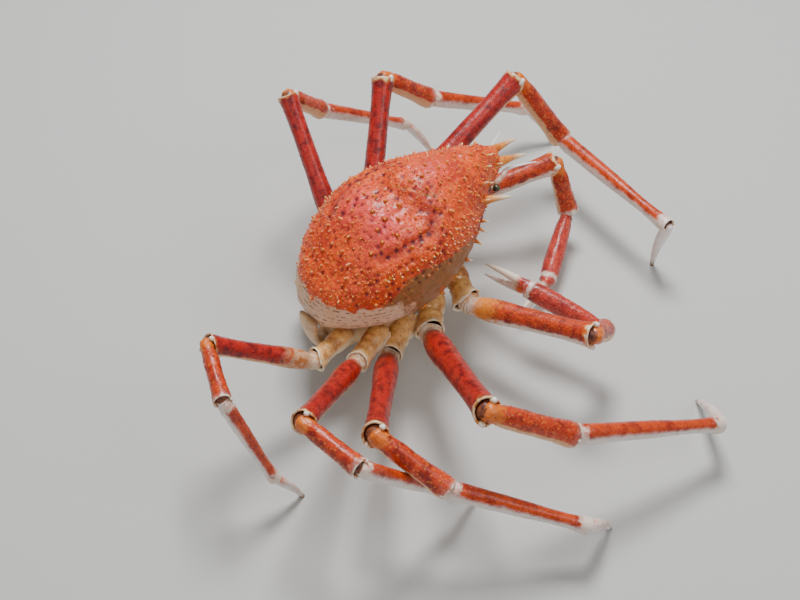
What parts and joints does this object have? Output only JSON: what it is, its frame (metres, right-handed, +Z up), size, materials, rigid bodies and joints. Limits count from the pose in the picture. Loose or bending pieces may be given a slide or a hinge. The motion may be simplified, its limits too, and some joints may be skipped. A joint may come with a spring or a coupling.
{
  "type": "japanese spider crab",
  "caption": "Life-size still model of a japanese spider crab: spiny pear-shaped carapace, slender jointed walking legs standing on their tips and two claws drawn in under the head.",
  "frame": {"origin": "middle of the bounding box on the floor that the leg tips stand on", "axes": "+Z up; the head looks along +Y; the crab's right side is at +X"},
  "size_m": [0.4032, 0.422, 0.1551],
  "materials": {
    "carapace": "mottled orange-red shell with paler tubercles",
    "belly": "pale cream shell",
    "coxa": "cream and tan shell, wet",
    "red_limb": "crimson shell, darker above and paler below",
    "orange_limb": "orange-red shell above, white below",
    "pale_tip": "white to cream shell",
    "eye": "wet dark cuticle",
    "feeler": "pale shell"
  },
  "bodies": {
    "root": {"abdomen": "belly", "carapace": "carapace", "claw_left_carpus": "orange_limb", "claw_left_coxa": "coxa", "claw_left_finger": "pale_tip", "claw_left_merus": "red_limb", "claw_left_palm": "red_limb", "claw_right_carpus": "orange_limb", "claw_right_coxa": "coxa", "claw_right_finger": "pale_tip", "claw_right_merus": "red_limb", "claw_right_palm": "red_limb", "eye_left": "eye", "eye_right": "eye", "feeler_left": "feeler", "feeler_right": "feeler", "leg_left_2_carpus": "orange_limb", "leg_left_2_coxa": "coxa", "leg_left_2_dactyl": "pale_tip", "leg_left_2_merus": "red_limb", "leg_left_2_propodus": "orange_limb", "leg_left_3_carpus": "orange_limb", "leg_left_3_coxa": "coxa", "leg_left_3_dactyl": "pale_tip", "leg_left_3_merus": "red_limb", "leg_left_3_propodus": "orange_limb", "leg_left_4_carpus": "orange_limb", "leg_left_4_coxa": "coxa", "leg_left_4_dactyl": "pale_tip", "leg_left_4_merus": "red_limb", "leg_left_4_propodus": "orange_limb", "leg_left_5_carpus": "orange_limb", "leg_left_5_coxa": "coxa", "leg_left_5_dactyl": "pale_tip", "leg_left_5_merus": "red_limb", "leg_left_5_propodus": "orange_limb", "leg_right_2_carpus": "orange_limb", "leg_right_2_coxa": "coxa", "leg_right_2_dactyl": "pale_tip", "leg_right_2_merus": "red_limb", "leg_right_2_propodus": "orange_limb", "leg_right_3_carpus": "orange_limb", "leg_right_3_coxa": "coxa", "leg_right_3_dactyl": "pale_tip", "leg_right_3_merus": "red_limb", "leg_right_3_propodus": "orange_limb", "leg_right_4_carpus": "orange_limb", "leg_right_4_coxa": "coxa", "leg_right_4_dactyl": "pale_tip", "leg_right_4_merus": "red_limb", "leg_right_4_propodus": "orange_limb", "leg_right_5_carpus": "orange_limb", "leg_right_5_coxa": "coxa", "leg_right_5_dactyl": "pale_tip", "leg_right_5_merus": "red_limb", "leg_right_5_propodus": "orange_limb", "mouthpart_left": "belly", "mouthpart_right": "belly", "sternum": "belly"}
  },
  "joints": []
}
